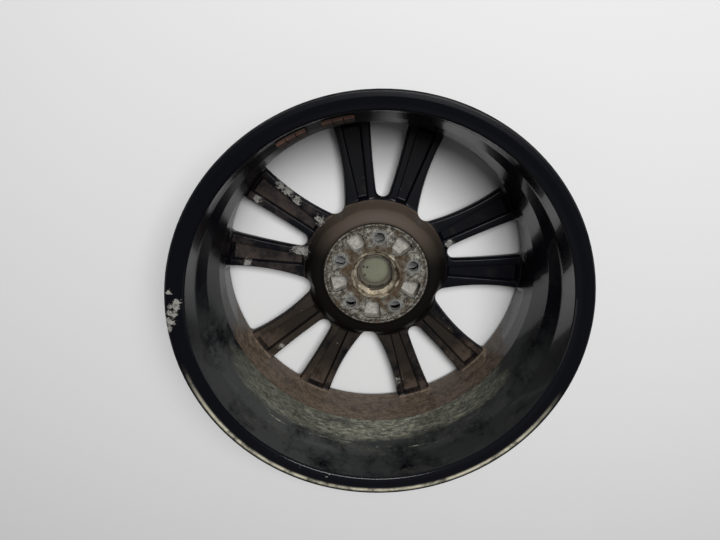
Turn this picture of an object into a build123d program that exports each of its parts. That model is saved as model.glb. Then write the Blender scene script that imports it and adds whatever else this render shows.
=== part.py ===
from build123d import *

import os
from math import atan2, cos, degrees, hypot, radians, sin, sqrt, tan

# One-piece cast aluminium car wheel, 19 x 7.5J, offset 50, five bolts on a 114.3 mm circle.
# Millimetres. The origin is the centre of the hub mounting face, +Z points inboard to the
# brake, and +Y runs through one bolt hole. The wheel lies on its outboard flange.

# Rim contour, tyre side
bead_seat_radius = 243.7
flange_height = 17.3
rim_width = 190.5
wheel_offset = 50.0
flange_width = 12.2
flange_curve = 9.5
bead_fillet = 6.5
seat_taper = 5.0
seat_length = 16.0
well_depth = 17.3
well_start_z = -4.0
well_end_z = 34.0

# Rim contour, inner side
lip_round = 2.7
lip_land = 5.2
lip_inset = 2.9
lip_recess = 4.0
lip_chamfer = 2.6
barrel_inset = 6.7
barrel_break_z = 110.0
shoulder_inset = 14.9
shoulder_z = 82.5
well_wall = 4.0
wall_bulge = 1.0
step_z = 39.4
step_height = 0.6
crease_z = 5.5
back_draft = 2.5
window_cone = 5.9

# Outboard face
front_land = 5.0
front_edge_inset = 14.2
front_edge_z = -49.5
front_mid_radius = 160.0
front_mid_z = -44.0
front_hub_radius = 78.0
hub_face_z = -37.0

# Hub boss, inboard side
pad_radius = 77.5
pad_chamfer = 3.0
boss_mid_radius = 90.5
boss_mid_drop = 5.6
boss_radius = 98.0
boss_drop = 9.5
boss_foot_radius = 103.5
boss_foot_drop = 17.0
spoke_back_radius = 109.0
spoke_back_z = -23.5

# Spokes: five pairs, a narrow window inside each pair and a wide one between pairs
pair_count = 5
pair_angle = 18.0
parting_z = -30.0
back_flank = 20.0
front_flank = 9.0
window_corner = 6.5
corner_share = 0.29
window_overrun = 4.0

# Window outlines on the parting line: where the two sides would meet, the radius of the
# rounded tip, and the half width at a middle radius and at the rim
wide_apex = 94.3
wide_tip = 14.6
wide_mid_reach = 163.1
wide_mid_half = 40.1
wide_end_half = 58.0
narrow_apex = 84.0
narrow_tip = 10.5
narrow_mid_reach = 166.9
narrow_mid_half = 19.3
narrow_end_half = 28.4

# Channel down the back of each spoke
channel_angle = 14.5
channel_half_angle = 3.3
channel_inner_radius = 113.0
channel_outer_radius = 217.5
channel_floor_z = -32.5
channel_corner = 3.0
channel_draft = 8.0

# Bolt circle and centre bore
bolt_count = 5
bolt_circle = 114.3
bolt_hole_radius = 7.6
bolt_hole_length = 9.0
seat_angle = 30.0
seat_radius = 12.5
nut_well_radius = 14.0
bore_radius = 33.55
bore_chamfer = 2.5
bore_length = 8.0
relief_radius = 34.6
ledge_z = -14.0
cap_bore_radius = 28.0
cap_recess_radius = 31.0
cap_recess_depth = 5.0

# Weight-saving pockets between the bolt holes
pocket_inner_radius = 43.5
pocket_outer_radius = 69.5
pocket_half_angle = 12.0
pocket_depth = 17.0
pocket_corner = 3.5
pocket_draft = 4.0
notch_depth = 2.5
notch_half_angle = 10.0

# Valve hole through the wall between the well and the outboard bead seat
valve_angle = 54.0
valve_radius = 5.75
valve_tilt = 20.0
valve_z = -13.0
valve_start = 1.5
valve_wall = 4.0
spot_face_radius = 9.0
spot_face_depth = 14.0

# Centre cap, clipped into the cap bore from outboard
cap_clearance = 0.3
cap_plate = 2.6
cap_plate_back_z = -28.5
cap_wall = 2.0
bezel_thickness = 3.2
bezel_chamfer = 0.9
leg_count = 4
leg_angle = 48.0
leg_first = 10.0
leg_wall = 1.8
barb_height = 0.9
barb_length = 2.6
rib_radius = 22.6
rib_wall = 1.4
rib_height = 2.4
pip_radius = 1.5
pip_depth = 1.2
pips = [(170.0, 13.0), (172.0, 18.5), (214.0, 18.5)]

# Stick-on balance weights on the barrel wall: angle where each strip starts
weight_starts = {"1": 102.4, "2": 117.2}
weight_segments = 3
weight_pitch = 3.35
weight_gap = 0.3
weight_width = 19.0
weight_thickness = 3.8
weight_edge = 0.8
web_thickness = 1.0
tape_thickness = 0.9
tape_margin = 0.12
weight_seat = 0.2
weight_top_z = 107.0

flange_radius = bead_seat_radius + flange_height
face_in_z = wheel_offset + rim_width / 2
face_out_z = wheel_offset - rim_width / 2
edge_in_z = face_in_z + flange_width
edge_out_z = face_out_z - flange_width
well_radius = bead_seat_radius - well_depth
well_inner_radius = well_radius - well_wall
crease_radius = well_inner_radius + step_height
lip_inner_radius = bead_seat_radius - lip_inset
barrel_radius = bead_seat_radius - barrel_inset
shoulder_radius = bead_seat_radius - shoulder_inset
front_edge_radius = bead_seat_radius - front_edge_inset
bolt_circle_radius = bolt_circle / 2


def polar(radius, angle):
    """Point at a radius and an angle in degrees."""
    return (radius * cos(radians(angle)), radius * sin(radians(angle)))


def mirrored(point):
    """The same point on the other side of the X axis."""
    return (point[0], -point[1])


def turned(points, angle=360.0, start=0.0):
    """Solid of revolution about Z from a closed outline of (radius, z) points."""
    outline = Wire.make_polygon([(r, 0, z) for r, z in points], close=True)
    return Rot(0, 0, start) * revolve(Face(outline), Axis.Z, angle)


def tyre_side(face_z, side):
    """Outline points from the lip apex round the flange and the bead seat, on one side."""
    curve_r = flange_curve * cos(radians(45))
    apex = (flange_radius, face_z + side * flange_curve)
    curve_mid = (
        flange_radius - flange_curve + curve_r,
        face_z + side * (flange_curve - curve_r),
    )
    curve_end = (flange_radius - flange_curve, face_z)
    fillet_start = (bead_seat_radius + bead_fillet, face_z)
    seat_start = (bead_seat_radius, face_z - side * bead_fillet)
    seat_end = (
        bead_seat_radius - seat_length * tan(radians(seat_taper)),
        seat_start[1] - side * seat_length,
    )
    return [apex, curve_mid, curve_end, fillet_start, seat_start, seat_end]


def barrel_points():
    """Inner side of the rim, from the inboard edge down to the backs of the spokes."""
    land = flange_radius - lip_round
    lip_bottom_z = edge_in_z - lip_recess
    back_radius = crease_radius - (crease_z - spoke_back_z) * tan(radians(back_draft))
    return [
        (land, edge_in_z),
        (land - lip_land, edge_in_z),
        (lip_inner_radius, lip_bottom_z),
        (lip_inner_radius - lip_chamfer, lip_bottom_z - lip_chamfer),
        (barrel_radius, barrel_break_z),
        (shoulder_radius, shoulder_z),
        (well_inner_radius, step_z),
        (crease_radius, step_z - step_height),
        (crease_radius, crease_z),
        (back_radius, spoke_back_z),
        (spoke_back_radius, spoke_back_z),
    ]


def boss_points():
    """Hub boss on the inboard side: foot, convex shoulder, chamfer and mounting pad."""
    return [
        (boss_foot_radius, -boss_foot_drop),
        (boss_radius, -boss_drop),
        (boss_mid_radius, -boss_mid_drop),
        (pad_radius + pad_chamfer, -pad_chamfer),
        (pad_radius, 0),
        (0, 0),
    ]


def casting_blank():
    """The whole casting as turned, before windows, channels and bores are cut."""
    front = [
        (0, hub_face_z),
        (front_hub_radius, hub_face_z),
        (front_mid_radius, front_mid_z),
        (front_edge_radius, front_edge_z),
        (flange_radius - lip_round - front_land, edge_out_z),
        (flange_radius - lip_round, edge_out_z),
    ]
    well = [
        (well_radius, well_start_z),
        (well_radius, well_end_z),
        (shoulder_radius + well_wall + wall_bulge, shoulder_z),
    ]
    outboard = tyre_side(face_out_z, -1)
    inboard = tyre_side(face_in_z, 1)
    return turned(barrel_points() + boss_points() + front + outboard + well + inboard[::-1])


def window_outline(window, z, grow, rim_radius):
    """Outline of a window at one height, with its sides moved outwards by grow."""
    apex, tip, mid_reach, mid_half, end_half = window
    slope_start = atan2(mid_half, mid_reach - apex)
    slope_end = atan2(end_half - mid_half, rim_radius - mid_reach)
    slope_apex = slope_start + (slope_start - slope_end) / 2
    nose = tip + grow
    centre = apex + tip / sin(slope_apex)
    lean = 90 + degrees(slope_apex)
    start = (centre + nose * cos(radians(lean)), nose * sin(radians(lean)))
    nose_points = [
        (centre + nose * cos(radians(angle)), nose * sin(radians(angle)))
        for angle in (lean + (180 - lean) * 0.5, 180, 180 + (180 - lean) * 0.5)
    ]
    middle = (mid_reach - grow * sin(slope_start), mid_half + grow * cos(slope_start))
    end_y = end_half + grow * cos(slope_end)
    along = window_corner * cos(slope_end)
    down = window_corner * sin(slope_end)
    side_end = (sqrt(rim_radius**2 - end_y**2) - along, end_y - down)
    rim_y = end_y - window_corner
    rim_end = (sqrt(rim_radius**2 - rim_y**2), rim_y)
    bevel = window_corner * corner_share
    corner_y = end_y - bevel
    corner = (sqrt(rim_radius**2 - corner_y**2) - bevel, corner_y)
    upper = [ThreePointArc(start, middle, side_end), Polyline(side_end, corner, rim_end)]
    rim = ThreePointArc(rim_end, (rim_radius, 0), mirrored(rim_end))
    lower = [
        Polyline(mirrored(rim_end), mirrored(corner), mirrored(side_end)),
        ThreePointArc(mirrored(side_end), mirrored(middle), mirrored(start)),
    ]
    tip_line = Polyline(mirrored(start), *nose_points[::-1], start)
    pieces = [*upper, rim, *lower, tip_line]
    outline = Wire([edge for piece in pieces for edge in piece.edges()])
    return Pos(0, 0, z) * Face(outline)


def window_tool(window):
    """Solid that cuts one window, along +X: it opens both ways from the parting line."""
    cone = tan(radians(window_cone))
    rim_radius = crease_radius + (crease_z - parting_z) * cone
    top_z = crease_z + window_overrun
    bottom_z = edge_out_z - window_overrun
    rise = top_z - parting_z
    fall = parting_z - bottom_z
    parting = window_outline(window, parting_z, 0, rim_radius)
    top = window_outline(window, top_z, rise * tan(radians(back_flank)), rim_radius - rise * cone)
    bottom = window_outline(
        window, bottom_z, fall * tan(radians(front_flank)), rim_radius + fall * cone
    )
    back = loft([parting, top], ruled=True)
    front = loft([bottom, parting], ruled=True)
    return back, front


def channel_tool():
    """Solid that cuts one spoke channel, along +X, with drafted walls."""
    inner = channel_inner_radius * tan(radians(channel_half_angle))
    outer = channel_outer_radius * tan(radians(channel_half_angle))
    with BuildSketch(Plane.XY.offset(channel_floor_z)) as floor:
        with BuildLine():
            Polyline(
                (channel_inner_radius, inner),
                (channel_outer_radius, outer),
                (channel_outer_radius, -outer),
                (channel_inner_radius, -inner),
                close=True,
            )
        make_face()
        chamfer(floor.vertices(), channel_corner)
    height = -channel_floor_z
    return extrude(floor.sketch, height, taper=-channel_draft)


def bolt_tool():
    """Bolt hole with its cone seat and nut well, along Z."""
    seat_depth = bolt_hole_length + (seat_radius - bolt_hole_radius) / tan(radians(seat_angle))
    return turned(
        [
            (0, window_overrun),
            (bolt_hole_radius, window_overrun),
            (bolt_hole_radius, -bolt_hole_length),
            (seat_radius, -seat_depth),
            (nut_well_radius, -seat_depth),
            (nut_well_radius, hub_face_z - window_overrun),
            (0, hub_face_z - window_overrun),
        ]
    )


def bore_tool():
    """Stepped centre bore: hub spigot bore, cap bore and the recess for the cap bezel."""
    recess_z = hub_face_z + cap_recess_depth
    return turned(
        [
            (0, window_overrun),
            (bore_radius + bore_chamfer + window_overrun, window_overrun),
            (bore_radius, -bore_chamfer),
            (bore_radius, -bore_chamfer - bore_length),
            (relief_radius, -bore_chamfer - bore_length),
            (relief_radius, ledge_z),
            (cap_bore_radius, ledge_z),
            (cap_bore_radius, recess_z),
            (cap_recess_radius, recess_z),
            (cap_recess_radius, hub_face_z - window_overrun),
            (0, hub_face_z - window_overrun),
        ]
    )


def sector(inner, outer, half_angle):
    """Sketch of a ring sector about +X."""
    with BuildSketch() as shape:
        with BuildLine():
            ThreePointArc(polar(inner, half_angle), (inner, 0), polar(inner, -half_angle))
            Line(polar(inner, -half_angle), polar(outer, -half_angle))
            ThreePointArc(polar(outer, -half_angle), (outer, 0), polar(outer, half_angle))
            Line(polar(outer, half_angle), polar(inner, half_angle))
        make_face()
    return shape.sketch


def pocket_tools():
    """One weight-saving pocket and the shallow notch that joins it to the centre bore."""
    mouth = sector(pocket_inner_radius, pocket_outer_radius, pocket_half_angle)
    mouth = chamfer(mouth.vertices(), pocket_corner)
    pocket = extrude(mouth, -pocket_depth, taper=pocket_draft)
    notch_start = bore_radius - bore_chamfer
    notch_end = pocket_inner_radius + pocket_corner
    notch = extrude(sector(notch_start, notch_end, notch_half_angle), -notch_depth)
    return pocket, notch


def valve_tool():
    """Valve hole with a spot face at each end, leaning so that the stem points outboard."""
    wall_radius = crease_radius + (crease_z - valve_z) * tan(radians(window_cone))
    lean = radians(valve_tilt)
    plane = Plane(
        origin=(*polar(wall_radius, valve_angle), valve_z),
        z_dir=(*polar(cos(lean), valve_angle), sin(lean)),
    )
    inner = valve_start - spot_face_depth / 2
    outer = valve_start + valve_wall + spot_face_depth / 2
    return [
        plane * Cylinder(valve_radius, 2 * spot_face_depth),
        plane * Pos(0, 0, inner) * Cylinder(spot_face_radius, spot_face_depth),
        plane * Pos(0, 0, outer) * Cylinder(spot_face_radius, spot_face_depth),
    ]


def wheel():
    """The casting with everything cut."""
    wide = (wide_apex, wide_tip, wide_mid_reach, wide_mid_half, wide_end_half)
    narrow = (narrow_apex, narrow_tip, narrow_mid_reach, narrow_mid_half, narrow_end_half)
    wide_tools = window_tool(wide)
    narrow_tools = window_tool(narrow)
    channel = channel_tool()
    pocket, notch = pocket_tools()
    bolt = Pos(bolt_circle_radius, 0, 0) * bolt_tool()
    tools = [bore_tool(), *valve_tool()]
    for index in range(pair_count):
        pair = pair_angle + index * 360 / pair_count
        gap = pair + 180 / pair_count
        tools += [Rot(0, 0, pair) * tool for tool in narrow_tools]
        tools += [Rot(0, 0, gap) * tool for tool in wide_tools]
        tools += [Rot(0, 0, pair + side * channel_angle) * channel for side in (-1, 1)]
        tools += [Rot(0, 0, gap) * pocket, Rot(0, 0, gap) * notch]
    for index in range(bolt_count):
        tools.append(Rot(0, 0, pair_angle + index * 360 / bolt_count) * bolt)
    return casting_blank() - tools


def centre_cap():
    """Moulded cap: bezel and blank plate outboard, rib and four clip legs inboard."""
    plug = cap_bore_radius - cap_clearance
    bezel = cap_recess_radius - cap_clearance
    seat_z = hub_face_z + cap_recess_depth
    bezel_front = seat_z - bezel_thickness
    plate_front = cap_plate_back_z - cap_plate
    body = turned(
        [
            (0, cap_plate_back_z),
            (rib_radius - rib_wall, cap_plate_back_z),
            (rib_radius - rib_wall, cap_plate_back_z + rib_height),
            (rib_radius, cap_plate_back_z + rib_height),
            (rib_radius, cap_plate_back_z),
            (plug, cap_plate_back_z),
            (plug, seat_z),
            (bezel, seat_z),
            (bezel, bezel_front + bezel_chamfer),
            (bezel - bezel_chamfer, bezel_front),
            (plug - cap_wall, bezel_front),
            (plug - cap_wall - bezel_chamfer, plate_front),
            (0, plate_front),
        ]
    )
    catch_z = ledge_z + cap_clearance
    leg_outline = [
        (plug - leg_wall, cap_plate_back_z - cap_plate / 2),
        (plug, cap_plate_back_z - cap_plate / 2),
        (plug, catch_z),
        (cap_bore_radius + barb_height, catch_z),
        (plug - leg_wall / 2, catch_z + barb_length),
        (plug - leg_wall, catch_z + barb_length),
    ]
    legs = []
    for index in range(leg_count):
        start = leg_first + index * 360 / leg_count - leg_angle / 2
        legs.append(turned(leg_outline, leg_angle, start))
    holes = [
        Pos(*polar(radius, angle), cap_plate_back_z) * Cylinder(pip_radius, 2 * pip_depth)
        for angle, radius in pips
    ]
    return body + legs - holes


def on_barrel(depth, down):
    """Point (radius, z) at a depth off the barrel wall and a distance down its slope."""
    run_r = barrel_radius - shoulder_radius
    run_z = barrel_break_z - shoulder_z
    length = hypot(run_r, run_z)
    along_r, along_z = run_r / length, run_z / length
    top_radius = shoulder_radius + (weight_top_z - shoulder_z) * run_r / run_z
    return (
        top_radius - down * along_r - depth * along_z,
        weight_top_z - down * along_z + depth * along_r,
    )


def balance_weight(start):
    """Strip of steel segments with bevelled edges, joined by a thin web at the grooves."""
    base = tape_thickness + 2 * weight_seat
    face = base + weight_thickness
    top = 0.0
    bottom = weight_width
    segment = [
        on_barrel(base, top),
        on_barrel(face - weight_edge, top),
        on_barrel(face, top + weight_edge),
        on_barrel(face, bottom - weight_edge),
        on_barrel(face - weight_edge, bottom),
        on_barrel(base, bottom),
    ]
    groove = [
        on_barrel(base + web_thickness, top - weight_edge),
        on_barrel(face + weight_edge, top - weight_edge),
        on_barrel(face + weight_edge, bottom + weight_edge),
        on_barrel(base + web_thickness, bottom + weight_edge),
    ]
    strip = turned(segment, weight_segments * weight_pitch - weight_gap, start)
    for index in range(1, weight_segments):
        strip -= turned(groove, weight_gap, start + index * weight_pitch - weight_gap)
    return strip


def weight_tape(start):
    """Adhesive foam tape between a weight strip and the barrel wall."""
    outline = [
        on_barrel(weight_seat, weight_edge),
        on_barrel(weight_seat + tape_thickness, weight_edge),
        on_barrel(weight_seat + tape_thickness, weight_width - weight_edge),
        on_barrel(weight_seat, weight_width - weight_edge),
    ]
    run = weight_segments * weight_pitch - weight_gap - 2 * tape_margin
    return turned(outline, run, start + tape_margin)


if __name__ == "__main__":
    os.makedirs("parts", exist_ok=True)
    nodes = {"wheel": wheel(), "centre_cap": centre_cap()}
    for name, start in weight_starts.items():
        nodes["balance_weight_" + name] = balance_weight(start)
        nodes["weight_tape_" + name] = weight_tape(start)
    for name, shape in nodes.items():
        solid = shape.solids()[0]
        print(name, len(shape.solids()), round(shape.volume), solid.is_valid, shape.bounding_box())
        export_step(shape, f"parts/{name}.step")
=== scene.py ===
# %% [markdown]
# # A used alloy wheel, seen from inboard
# The wheel lies on its outboard flange, so the camera looks down into the barrel at the hub,
# the backs of ten spokes and the mounting pad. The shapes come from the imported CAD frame; this
# lesson rounds the casting's edges, gives each surface its wear, and lights it.
# Everything is in metres in the frame's own axes: Z runs along the axle towards the car.

import bmesh
import bpy
import numpy as np
from mathutils import Matrix, Vector


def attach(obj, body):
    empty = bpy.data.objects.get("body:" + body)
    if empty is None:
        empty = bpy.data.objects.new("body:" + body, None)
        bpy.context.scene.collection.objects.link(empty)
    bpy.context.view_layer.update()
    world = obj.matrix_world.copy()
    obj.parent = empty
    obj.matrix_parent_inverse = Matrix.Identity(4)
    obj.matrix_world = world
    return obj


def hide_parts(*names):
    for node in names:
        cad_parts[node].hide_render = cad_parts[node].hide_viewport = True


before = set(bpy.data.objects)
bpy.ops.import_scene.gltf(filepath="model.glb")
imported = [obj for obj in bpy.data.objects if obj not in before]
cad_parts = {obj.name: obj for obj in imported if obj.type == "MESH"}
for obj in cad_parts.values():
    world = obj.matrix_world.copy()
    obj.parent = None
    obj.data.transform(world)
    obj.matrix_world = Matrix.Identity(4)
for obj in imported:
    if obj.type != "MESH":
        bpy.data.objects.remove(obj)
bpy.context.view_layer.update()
MM = 0.001
print("CAD nodes:", ", ".join(sorted(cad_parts)))

# %% [markdown]
# ## Camera
# The photograph's camera was solved from the circles of the wheel: the five bolt holes, the
# bore and both edges of the rim. It stands 0.8 m from the hub and looks a little up the
# barrel, so the near edge of the rim covers more of the wall at the bottom of the picture.

# %% Camera at the photograph's place
CAMERA_PLACE = Vector((-0.0478, 0.2473, 0.7696))
CAMERA_LOOK = Vector((0.0291, -0.2992, -0.9537))
CAMERA_UP = Vector((-0.078, 0.9506, -0.3006))
CAMERA_LENS = 27.17


def aimed(place, look, up):
    """Matrix whose -Z runs along look and whose Y is the part of up square to look."""
    back = -look.normalized()
    right = up.cross(back).normalized()
    turn = Matrix((right, back.cross(right), back)).transposed()
    return Matrix.Translation(place) @ turn.to_4x4()


camera_data = bpy.data.cameras.new("camera")
camera_data.lens = CAMERA_LENS
camera_data.sensor_width = 36.0
camera_data.clip_start = 0.01
camera = bpy.data.objects.new("camera", camera_data)
camera.matrix_world = aimed(CAMERA_PLACE, CAMERA_LOOK, CAMERA_UP)
bpy.context.collection.objects.link(camera)
bpy.context.scene.camera = camera
print("camera", round(CAMERA_PLACE.length, 3), "m from the hub")

# %% [markdown]
# ## The casting, once more with its edges rounded
# A casting has no sharp edges: the mould's corners are rounded so that metal flows and the
# sand or die lets go. The CAD solid leaves those small radii out, so this step works the same
# surfaces out again as dense grids with the rounding in the formula. The rim is a profile
# carried round the axle; the spokes are two height fields, back and front, over one flat grid.

# %% Sizes of the casting, in millimetres
WELL_WALL = 223.0
CREASE_Z, PARTING_Z, SPOKE_BACK_Z = 5.5, -30.0, -23.5
CONE, BACK_FLANK, FRONT_FLANK, SPOKE_DRAFT = np.tan(np.radians((5.9, 20.0, 9.0, 2.5)))
CORNER = 6.5
RIM_AT_PARTING = WELL_WALL + (CREASE_Z - PARTING_Z) * CONE
# A window by the radius of its apex, the radius of its tip, a point (radius, half width) on its
# side, and its half width at the rim.
WIDE = {"apex": 94.3, "tip": 14.6, "mid": (163.1, 40.1), "end": 58.0}
NARROW = {"apex": 84.0, "tip": 10.5, "mid": (166.9, 19.3), "end": 28.4}
PAIR, HALF_PAIR = 18.0, 36.0
FIFTHS = 72.0 * np.arange(5)


def smooth_least(a, b, reach):
    """The lesser of a and b, with the change from one to the other rounded over reach."""
    share = np.clip(0.5 + 0.5 * (b - a) / reach, 0, 1)
    return b * (1 - share) + a * share - reach * share * (1 - share)


def smooth_most(a, b, reach):
    """The greater of a and b, rounded over reach."""
    return -smooth_least(-a, -b, reach)


def rounded_path(corners):
    """A polygon with each corner (x, y, radius, pieces) replaced by an arc of that many pieces.

    The arc's centre lies on the bisector, so that it meets both straight sides without a kink.
    """
    points = []
    for index, (x, y, size, pieces) in enumerate(corners):
        here = np.array((x, y))
        if size == 0:
            points.append(here[None])
            continue
        back = np.array(corners[index - 1][:2]) - here
        ahead = np.array(corners[(index + 1) % len(corners)][:2]) - here
        back, ahead = back / np.linalg.norm(back), ahead / np.linalg.norm(ahead)
        half = np.arccos(np.clip(back @ ahead, -1, 1)) / 2
        middle = (back + ahead) / np.linalg.norm(back + ahead)
        centre = here + middle * size / np.sin(half)
        first = here + back * size / np.tan(half) - centre
        last = here + ahead * size / np.tan(half) - centre
        sweep = np.arctan2(first[0] * last[1] - first[1] * last[0], first @ last)
        turn = np.linspace(0, sweep, pieces + 1)[:, None]
        side = np.array((-first[1], first[0]))
        points.append(centre + np.cos(turn) * first + np.sin(turn) * side)
    return np.concatenate(points)


# %% [markdown]
# ### The rim
# On the real wheel the rim is turned on a lathe after casting, so it is a profile spun round
# the axle. Only its inner wall isn't round: behind the spokes it stays in, and over each window
# the tool pushed it out by a few millimetres, with a rounded corner at each side. The grid's
# columns follow those corners, so few of them are enough.

# %% Rim: profile and inner wall
# Corners as (radius, height, rounding, arc pieces), from the outboard flange over the tyre's
# side to the inboard flange, and back down the inner wall to the drop well.
TYRE_SIDE = [
    (253.3, -57.45, 2.0, 3), (261.0, -57.45, 2.69, 5), (261.0, -45.25, 9.5, 7),
    (243.7, -45.25, 6.4, 5), (242.4, -26.0, 0, 0), (243.3, -23.6, 3.0, 3),
    (241.6, -20.5, 3.0, 2), (226.4, -4.0, 7.0, 4), (226.4, 34.0, 12.0, 4),
    (233.8, 82.5, 40.0, 4), (241.6, 118.0, 8.0, 3), (243.3, 122.5, 3.0, 3),
    (242.4, 125.0, 0, 0), (243.7, 145.25, 6.4, 5), (261.0, 145.25, 9.5, 7),
    (261.0, 157.45, 2.69, 5), (253.1, 157.45, 1.5, 3), (240.8, 153.45, 2.0, 3),
    (238.2, 150.85, 3.0, 2), (237.0, 110.0, 30.0, 4), (228.8, 82.5, 12.0, 5),
    (222.4, 39.4, 1.2, 2), (223.0, 38.8, 0.5, 2),
]
WALL_ROWS = [5.5, 4, 2, 0, -3, -6, -9, -12, -15, -18, -21, -24, -27, -30, -35, -40, -45, -48.3]
FOOT_ROWS = [(-49.15, 0.35), (-49.5, 1.2)]
FOOT_END_RADIUS, FOOT_END_Z = 231.5, -50.2
CORNER_COLUMNS = [-1.2, 0.0, 0.35, 0.9, 1.7, 2.7, 3.9, 5.2, 6.5]


def window_edge(half_width, z):
    """Angle in radians from a window's middle to its side, on the rim, at a height."""
    grown = np.where(z > PARTING_Z, (z - PARTING_Z) * BACK_FLANK, (PARTING_Z - z) * FRONT_FLANK)
    return np.arcsin(half_width / RIM_AT_PARTING) + grown / RIM_AT_PARTING


def inner_wall(edge_distance, z):
    """Radius of the inner wall: the greater of the turned wall and the window's cone.

    Within a corner's reach of the window's side the cone is lowered by a quarter circle.
    """
    turned = WELL_WALL - np.clip(CREASE_Z - z, 0, CREASE_Z - SPOKE_BACK_Z) * SPOKE_DRAFT
    inside = np.clip(CORNER - edge_distance, 0, CORNER)
    lowered = CORNER - np.sqrt(CORNER**2 - inside**2)
    cone = WELL_WALL + (CREASE_Z - z) * CONE - lowered
    return np.maximum(turned, cone)


def rim_columns(z):
    """Angles and distances from the nearest window side of every grid column, for rows at z.

    Going round one pair: half a narrow window, a spoke, a wide window, a spoke, half a narrow.
    """
    near = np.array(CORNER_COLUMNS)
    angles, distances = [], []
    for window, middle, count in ((NARROW, 0.0, 6), (WIDE, HALF_PAIR, 16)):
        edge = window_edge(window["end"], z)[:, None]
        side = edge - near / RIM_AT_PARTING
        inner = side[:, -1:]
        fill = inner * np.linspace(-1, 1, count + 1)[1:-1]
        angles.append(np.radians(middle) + np.hstack((-side, fill, side[:, ::-1])))
        open_width = (edge - np.abs(fill)) * RIM_AT_PARTING
        along = np.broadcast_to(near, side.shape)
        distances.append(np.hstack((along, open_width, along[:, ::-1])))
    narrow, wide = angles
    full = np.radians(2 * HALF_PAIR)
    share = np.linspace(0, 1, 9)[1:-1]
    gaps = [
        start[:, None] * (1 - share) + end[:, None] * share
        for start, end in ((narrow[:, -1], wide[:, 0]), (wide[:, -1], narrow[:, 0] + full))
    ]
    angle = np.hstack((narrow, gaps[0], wide, gaps[1]))
    buried = np.full(gaps[0].shape, -CORNER)
    distance = np.hstack((distances[0], buried, distances[1], buried))
    turns = np.radians(PAIR + FIFTHS)
    return (
        (angle[:, None, :] + turns[None, :, None]).reshape(len(z), -1),
        np.tile(distance, (1, 5)),
    )


def ring_faces(rows, columns):
    """Quads of a grid that closes on itself both round the axle and along the profile."""
    row, column = np.meshgrid(np.arange(rows), np.arange(columns), indexing="ij")
    here, below = row * columns, (row + 1) % rows * columns
    right = (column + 1) % columns
    quads = (here + column, here + right, below + right, below + column)
    return np.stack(quads, axis=-1).reshape(-1, 4)


def rim_surface():
    """Grid of the whole rim: wall rows, the foot's rounding, then the turned profile."""
    turned = rounded_path(TYRE_SIDE)
    wall_z = np.array(WALL_ROWS)
    foot_z, foot_out = np.array(FOOT_ROWS).T
    z = np.concatenate((wall_z, foot_z, [FOOT_END_Z], turned[:, 1]))
    reference = np.concatenate((wall_z, foot_z, foot_z[-1:], np.full(len(turned), CREASE_Z)))
    angle, distance = rim_columns(reference)
    walls = len(wall_z) + len(foot_z)
    start = np.concatenate((np.zeros(walls), [FOOT_END_RADIUS], turned[:, 0]))
    radius = np.repeat(start[:, None], angle.shape[1], 1)
    radius[:walls] = inner_wall(distance[:walls], reference[:walls, None])
    radius[len(wall_z):walls] += foot_out[:, None]
    height = np.broadcast_to(z[:, None], radius.shape)
    points = np.stack((radius * np.cos(angle), radius * np.sin(angle), height), axis=-1)
    return points.reshape(-1, 3), ring_faces(*radius.shape)


rim_points, rim_faces = rim_surface()
print("rim:", len(rim_points), "points,", 2 * len(rim_faces), "triangles")

# %% [markdown]
# ### The spokes
# Looked at along the axle, the metal of the centre fills the flat space between ten windows.
# One sector of it, from the middle of a narrow window to the middle of a wide one, is a grid:
# rows run across the spoke and columns run along it, beside the windows and beside the channel.
# Each grid point then gets two heights. The back is the least of the hub's curve, the flank that
# rises from the parting line, and the channel; the front is the greatest of its face and flank.

# %% Spokes: the outlines of the windows
OVERRUN, SIDE_POINTS = 1.12, 160


def side_arc(window):
    """Points along a window's outline, from the tip's apex along one side to radius 230.

    The tip is a circle; the side is the circle through the tip's end, the middle and the rim,
    carried on a little past the rim.
    """
    apex, tip = window["apex"], window["tip"]
    reach, half = window["mid"]
    start_slope = np.arctan2(half, reach - apex)
    end_slope = np.arctan2(window["end"] - half, RIM_AT_PARTING - reach)
    slope = start_slope + (start_slope - end_slope) / 2
    centre = apex + tip / np.sin(slope)
    round_tip = np.radians(np.linspace(180, 90 + np.degrees(slope), 25))
    nose = np.stack((centre + tip * np.cos(round_tip), tip * np.sin(round_tip)), axis=-1)
    end_y = window["end"] - CORNER * np.sin(end_slope)
    end_x = np.sqrt(RIM_AT_PARTING**2 - window["end"] ** 2) - CORNER * np.cos(end_slope)
    a, b, c = nose[-1], np.array((reach, half)), np.array((end_x, end_y))
    middle = np.linalg.solve(2 * np.array((b - a, c - a)), (b @ b - a @ a, c @ c - a @ a))
    size = np.linalg.norm(a - middle)
    first, last = (np.arctan2(*(point - middle)[::-1]) for point in (a, c))
    swing = (last - first + np.pi) % (2 * np.pi) - np.pi
    turn = first + swing * np.linspace(0, OVERRUN, SIDE_POINTS)[1:]
    side = middle + size * np.stack((np.cos(turn), np.sin(turn)), axis=-1)
    return np.concatenate((nose, side))


def turned_by(points, degrees):
    """Flat points turned about the axle."""
    turn = np.radians(degrees)
    matrix = np.array(((np.cos(turn), -np.sin(turn)), (np.sin(turn), np.cos(turn))))
    return points @ matrix.T


NARROW_SIDE = side_arc(NARROW)
WIDE_SIDE = turned_by(side_arc(WIDE) * (1, -1), HALF_PAIR)
HUB_START = 82.0


def guide_line(outline, centre_angle):
    """A path up a window's middle from the hub to its tip, then along its side.

    Returned as the distance run, starting at the hub's radius, and the points.
    """
    start = turned_by(np.array(((HUB_START, 0.0),)), centre_angle)
    path = np.concatenate((start, outline))
    steps = np.linalg.norm(np.diff(path, axis=0), axis=1)
    return HUB_START + np.concatenate(([0], np.cumsum(steps))), path


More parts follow.
